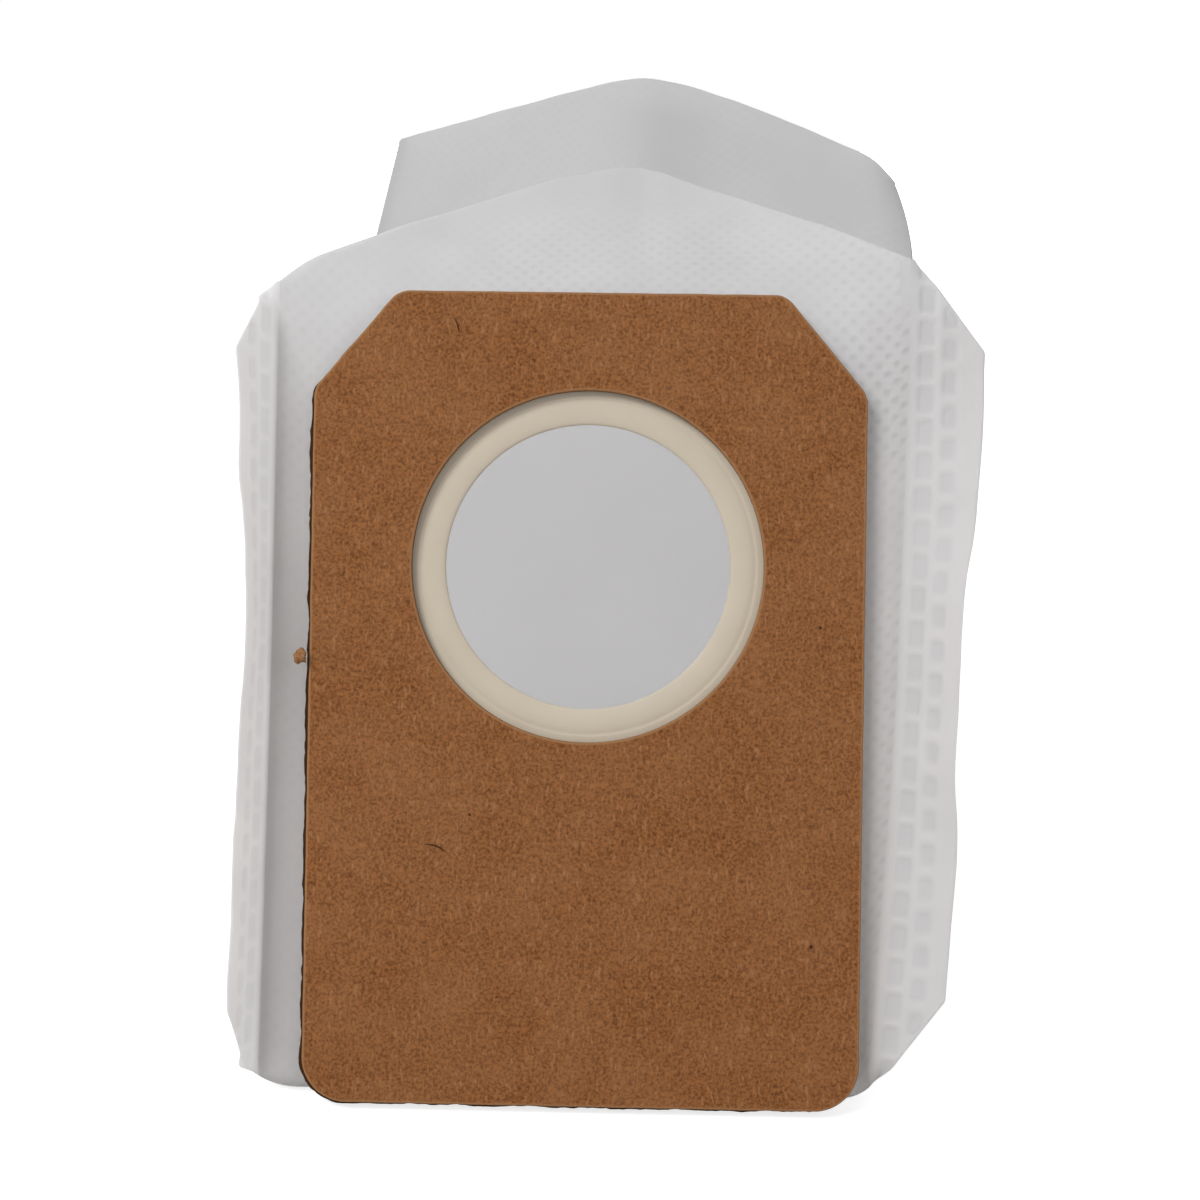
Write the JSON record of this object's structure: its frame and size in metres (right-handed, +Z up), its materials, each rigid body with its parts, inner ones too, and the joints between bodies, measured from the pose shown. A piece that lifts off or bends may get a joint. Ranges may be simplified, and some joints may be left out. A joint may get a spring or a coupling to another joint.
{
  "type": "vacuum dust bag",
  "caption": "Disposable nonwoven dust bag with a kraft board collar, round inlet and rubber seal ring, standing open with a bellows top and welded side flanges.",
  "frame": {"origin": "bottom centre of the bounding box, on the surface the bag stands on", "axes": "+Z up, -Y towards the side that the collar faces, +X to the right when looking at the collar; the collar leans back 18 degrees"},
  "size_m": [0.148, 0.1582, 0.1695],
  "materials": {
    "kraft_board": "matt brown kraft board with fine mottled fibre",
    "seal_rubber": "soft matt cream rubber",
    "filter_fabric": "white spunbond nonwoven, embossed with small dots, welded flanges"
  },
  "bodies": {
    "root": {"collar_front_ply": "kraft_board", "collar_back_ply": "kraft_board", "seal_ring": "seal_rubber", "bag_web": "filter_fabric", "left_side_panel": "filter_fabric", "right_side_panel": "filter_fabric"}
  },
  "joints": []
}
